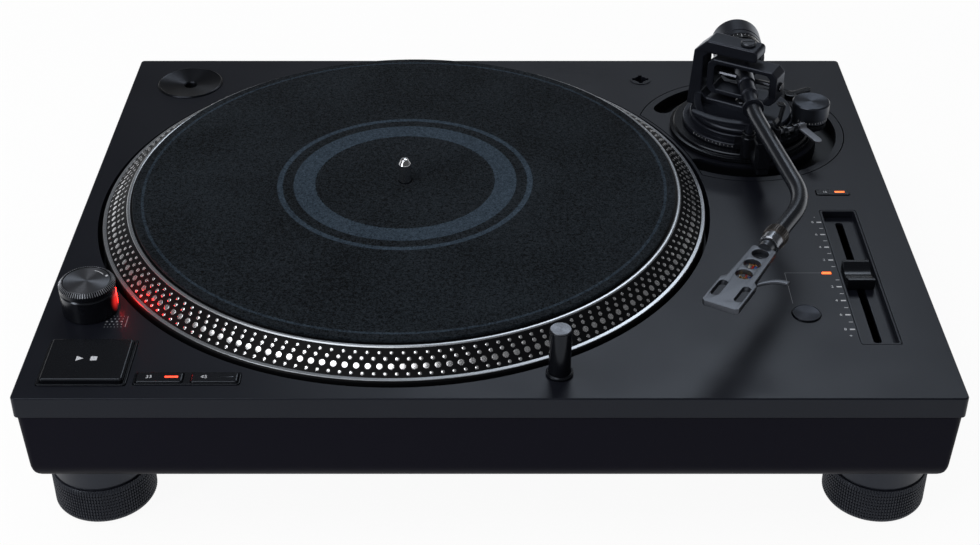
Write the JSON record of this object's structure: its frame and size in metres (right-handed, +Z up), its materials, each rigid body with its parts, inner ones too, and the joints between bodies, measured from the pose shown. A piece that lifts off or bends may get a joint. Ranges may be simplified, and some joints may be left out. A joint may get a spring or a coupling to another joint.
{
  "type": "dj turntable",
  "caption": "Direct-drive DJ turntable with slipmat, sliding pitch control, strobe power knob and an S-shaped tone arm in a gimbal, parked on its rest.",
  "frame": {"origin": "on the floor under the middle of the deck, between the four feet", "axes": "+X to the right seen from the front, +Y to the back, +Z up"},
  "size_m": [0.453, 0.353, 0.152],
  "materials": {
    "deck_metal": "satin charcoal paint",
    "cabinet_plastic": "fine-grained dark grey",
    "foot_rubber": "matt",
    "black_plastic": "satin",
    "platter_metal": "dark anodised with bright cut rings",
    "slipmat_felt": "felt",
    "steel": "polished",
    "knob_metal": "satin anodised with a bright cut edge",
    "dark_metal": "dark anodised",
    "weight_metal": "black plated",
    "grey_metal": "satin grey",
    "magnet": "sintered",
    "motor_coils": "enamelled wire on a steel plate",
    "red_lens": "clear red",
    "amber_lens": "clear amber"
  },
  "bodies": {
    "base": {"deck": "deck_metal", "cabinet": "cabinet_plastic", "bottom_cover": "cabinet_plastic", "motor_stator": "motor_coils", "pitch_panel": "deck_metal", "zero_lens": "amber_lens", "headshell_holder": "black_plastic", "strobe_housing": "black_plastic", "strobe_window": "red_lens", "light_collar": "black_plastic", "arm_base_plate": "deck_metal", "mains_inlet": "black_plastic", "phono_terminals": "black_plastic", "start_stop_frame": "black_plastic", "speed_button_frame": "black_plastic"},
    "rotor": {"spindle": "steel", "rotor_magnet": "magnet"},
    "platter": {"platter": "platter_metal"},
    "slipmat": {"slipmat": "slipmat_felt"},
    "record_adaptor": {"record_adaptor": "dark_metal"},
    "start_stop_button": {"start_stop_button": "black_plastic"},
    "speed_33_button": {"speed_33_button": "black_plastic"},
    "speed_45_button": {"speed_45_button": "black_plastic"},
    "pitch_range_button": {"pitch_range_button": "black_plastic"},
    "reset_button": {"reset_button": "dark_metal"},
    "power_knob": {"power_knob": "knob_metal"},
    "stylus_light": {"stylus_light": "dark_metal"},
    "pitch_fader": {"pitch_fader_knob": "black_plastic"},
    "height_ring": {"arm_height_ring": "black_plastic"},
    "arm_mast": {"arm_turret": "dark_metal", "arm_yoke": "dark_metal", "pivot_screw": "steel", "arm_bracket": "dark_metal", "arm_rest": "black_plastic"},
    "height_lock": {"height_lock_lever": "black_plastic"},
    "anti_skate": {"anti_skate_knob": "dark_metal"},
    "cue_lever": {"cue_lever": "grey_metal"},
    "cue_lift": {"cue_lift": "dark_metal"},
    "rest_clip": {"arm_rest_clip": "black_plastic"},
    "gimbal": {"gimbal_ring": "dark_metal"},
    "arm": {"pivot_shaft": "steel", "arm_hub": "dark_metal", "arm_tube": "dark_metal"},
    "collar": {"locking_collar": "dark_metal"},
    "headshell": {"headshell": "grey_metal", "finger_lift": "grey_metal"},
    "weight_sleeve": {"weight_sleeve": "steel"},
    "counterweight": {"counterweight": "weight_metal"},
    "weight_dial": {"weight_dial": "black_plastic"},
    "earth_nut": {"earth_nut": "steel"},
    "foot_pad_front_left": {"foot_pad_front_left": "foot_rubber"},
    "foot_front_left": {"foot_front_left": "foot_rubber"},
    "foot_pad_front_right": {"foot_pad_front_right": "foot_rubber"},
    "foot_front_right": {"foot_front_right": "foot_rubber"},
    "foot_pad_rear_left": {"foot_pad_rear_left": "foot_rubber"},
    "foot_rear_left": {"foot_rear_left": "foot_rubber"},
    "foot_pad_rear_right": {"foot_pad_rear_right": "foot_rubber"},
    "foot_rear_right": {"foot_rear_right": "foot_rubber"}
  },
  "joints": [
    {"name": "spindle_spin", "type": "hinge", "parent": "base", "child": "rotor", "pos_m": [-0.047, 0.002, 0.094], "axis": [0, 0, 1], "continuous": true},
    {"name": "platter_lift", "type": "slide", "parent": "rotor", "child": "platter", "axis": [0, 0, 1], "range_m": [0, 0.03]},
    {"name": "slipmat_slip", "type": "hinge", "parent": "platter", "child": "slipmat", "pos_m": [-0.047, 0.002, 0.106], "axis": [0, 0, 1], "continuous": true},
    {"name": "adaptor_lift", "type": "slide", "parent": "base", "child": "record_adaptor", "axis": [0, 0, 1], "range_m": [0, 0.012]},
    {"name": "start_stop_press", "type": "slide", "parent": "base", "child": "start_stop_button", "axis": [0, 0, -1], "range_m": [0, 0.0015], "stiffness_N_per_m": 400, "springref_m": -0.001},
    {"name": "speed_33_press", "type": "slide", "parent": "base", "child": "speed_33_button", "axis": [0, 0, -1], "range_m": [0, 0.0015], "stiffness_N_per_m": 400, "springref_m": -0.001},
    {"name": "speed_45_press", "type": "slide", "parent": "base", "child": "speed_45_button", "axis": [0, 0, -1], "range_m": [0, 0.0015], "stiffness_N_per_m": 400, "springref_m": -0.001},
    {"name": "pitch_range_press", "type": "slide", "parent": "base", "child": "pitch_range_button", "axis": [0, 0, -1], "range_m": [0, 0.001], "stiffness_N_per_m": 400, "springref_m": -0.001},
    {"name": "reset_press", "type": "slide", "parent": "base", "child": "reset_button", "axis": [0, 0, -1], "range_m": [0, 0.001], "stiffness_N_per_m": 400, "springref_m": -0.001},
    {"name": "power_turn", "type": "hinge", "parent": "base", "child": "power_knob", "pos_m": [-0.2026, -0.1031, 0.11], "axis": [0, 0, -1], "range_deg": [0, 40]},
    {"name": "light_retract", "type": "slide", "parent": "base", "child": "stylus_light", "axis": [0, 0, -1], "range_m": [0, 0.02]},
    {"name": "pitch_slide", "type": "slide", "parent": "base", "child": "pitch_fader", "axis": [0, 1, 0], "range_m": [-0.05, 0.05]},
    {"name": "height_turn", "type": "hinge", "parent": "base", "child": "height_ring", "pos_m": [0.15139, 0.08487, 0.097], "axis": [0, 0, 1], "range_deg": [0, 360]},
    {"name": "arm_rise", "type": "slide", "parent": "base", "child": "arm_mast", "axis": [0, 0, 1], "range_m": [0, 0.006]},
    {"name": "height_lock_turn", "type": "hinge", "parent": "arm_mast", "child": "height_lock", "pos_m": [0.18343, 0.10337, 0.107], "axis": [0, 0, 1], "range_deg": [0, 60]},
    {"name": "anti_skate_turn", "type": "hinge", "parent": "arm_mast", "child": "anti_skate", "pos_m": [0.19039, 0.07587, 0.112], "axis": [0, 0, -1], "range_deg": [0, 300]},
    {"name": "cue_turn", "type": "hinge", "parent": "arm_mast", "child": "cue_lever", "pos_m": [0.18249, 0.06007, 0.109], "axis": [-0.9135, -0.4067, 0], "range_deg": [0, 45]},
    {"name": "cue_lift_slide", "type": "slide", "parent": "arm_mast", "child": "cue_lift", "axis": [0, 0, 1], "range_m": [0, 0.0032]},
    {"name": "rest_clip_turn", "type": "hinge", "parent": "arm_mast", "child": "rest_clip", "pos_m": [0.16049, 0.02003, 0.1331], "axis": [-0.1478, 0.989, 0], "range_deg": [-100, 0]},
    {"name": "arm_swing", "type": "hinge", "parent": "arm_mast", "child": "gimbal", "pos_m": [0.15139, 0.08487, 0.128], "axis": [0, 0, 1], "range_deg": [-46, 0]},
    {"name": "arm_pitch", "type": "hinge", "parent": "gimbal", "child": "arm", "pos_m": [0.15139, 0.08487, 0.128], "axis": [-0.866, 0.5, 0], "range_deg": [0, 4]},
    {"name": "collar_turn", "type": "hinge", "parent": "arm", "child": "collar", "pos_m": [0.14146, -0.09295, 0.128], "axis": [-0.5, -0.866, 0], "range_deg": [0, 180]},
    {"name": "headshell_pull", "type": "slide", "parent": "arm", "child": "headshell", "axis": [-0.5, -0.866, 0], "range_m": [0, 0.016]},
    {"name": "weight_travel", "type": "slide", "parent": "arm", "child": "weight_sleeve", "axis": [0.0087, 1, 0], "range_m": [-0.002, 0.006]},
    {"name": "weight_turn", "type": "hinge", "parent": "weight_sleeve", "child": "counterweight", "pos_m": [0.15174, 0.12486, 0.128], "axis": [0.0087, 1, 0], "range_deg": [-360, 1080]},
    {"name": "dial_turn", "type": "hinge", "parent": "counterweight", "child": "weight_dial", "pos_m": [0.15163, 0.11286, 0.128], "axis": [0.0087, 1, 0], "continuous": true},
    {"name": "foot_drop_front_left", "type": "slide", "parent": "base", "child": "foot_pad_front_left", "axis": [0, 0, -1], "range_m": [0, 0.0045]},
    {"name": "foot_turn_front_left", "type": "hinge", "parent": "foot_pad_front_left", "child": "foot_front_left", "pos_m": [-0.2, -0.136, 0.02], "axis": [0, 0, 1], "range_deg": [0, 1080]},
    {"name": "foot_drop_front_right", "type": "slide", "parent": "base", "child": "foot_pad_front_right", "axis": [0, 0, -1], "range_m": [0, 0.0045]},
    {"name": "foot_turn_front_right", "type": "hinge", "parent": "foot_pad_front_right", "child": "foot_front_right", "pos_m": [0.2, -0.136, 0.02], "axis": [0, 0, 1], "range_deg": [0, 1080]},
    {"name": "foot_drop_rear_left", "type": "slide", "parent": "base", "child": "foot_pad_rear_left", "axis": [0, 0, -1], "range_m": [0, 0.0045]},
    {"name": "foot_turn_rear_left", "type": "hinge", "parent": "foot_pad_rear_left", "child": "foot_rear_left", "pos_m": [-0.2, 0.136, 0.02], "axis": [0, 0, 1], "range_deg": [0, 1080]},
    {"name": "foot_drop_rear_right", "type": "slide", "parent": "base", "child": "foot_pad_rear_right", "axis": [0, 0, -1], "range_m": [0, 0.0045]},
    {"name": "foot_turn_rear_right", "type": "hinge", "parent": "foot_pad_rear_right", "child": "foot_rear_right", "pos_m": [0.2, 0.136, 0.02], "axis": [0, 0, 1], "range_deg": [0, 1080]},
    {"name": "earth_nut_turn", "type": "hinge", "parent": "base", "child": "earth_nut", "pos_m": [-0.099, 0.166, 0.061], "axis": [0, 1, 0], "continuous": true}
  ],
  "couplings": [
    {"joint": "height_turn", "follows": "arm_rise", "rad_per_m": 1047.2},
    {"joint": "cue_lift_slide", "follows": "arm_pitch", "m_per_rad": 0.045836},
    {"joint": "cue_turn", "follows": "arm_pitch", "ratio": 11.25},
    {"joint": "weight_travel", "follows": "weight_turn", "m_per_rad": 0.00031831},
    {"joint": "foot_drop_front_left", "follows": "foot_turn_front_left", "m_per_rad": 0.00023873},
    {"joint": "foot_drop_front_right", "follows": "foot_turn_front_right", "m_per_rad": 0.00023873},
    {"joint": "foot_drop_rear_left", "follows": "foot_turn_rear_left", "m_per_rad": 0.00023873},
    {"joint": "foot_drop_rear_right", "follows": "foot_turn_rear_right", "m_per_rad": 0.00023873}
  ]
}
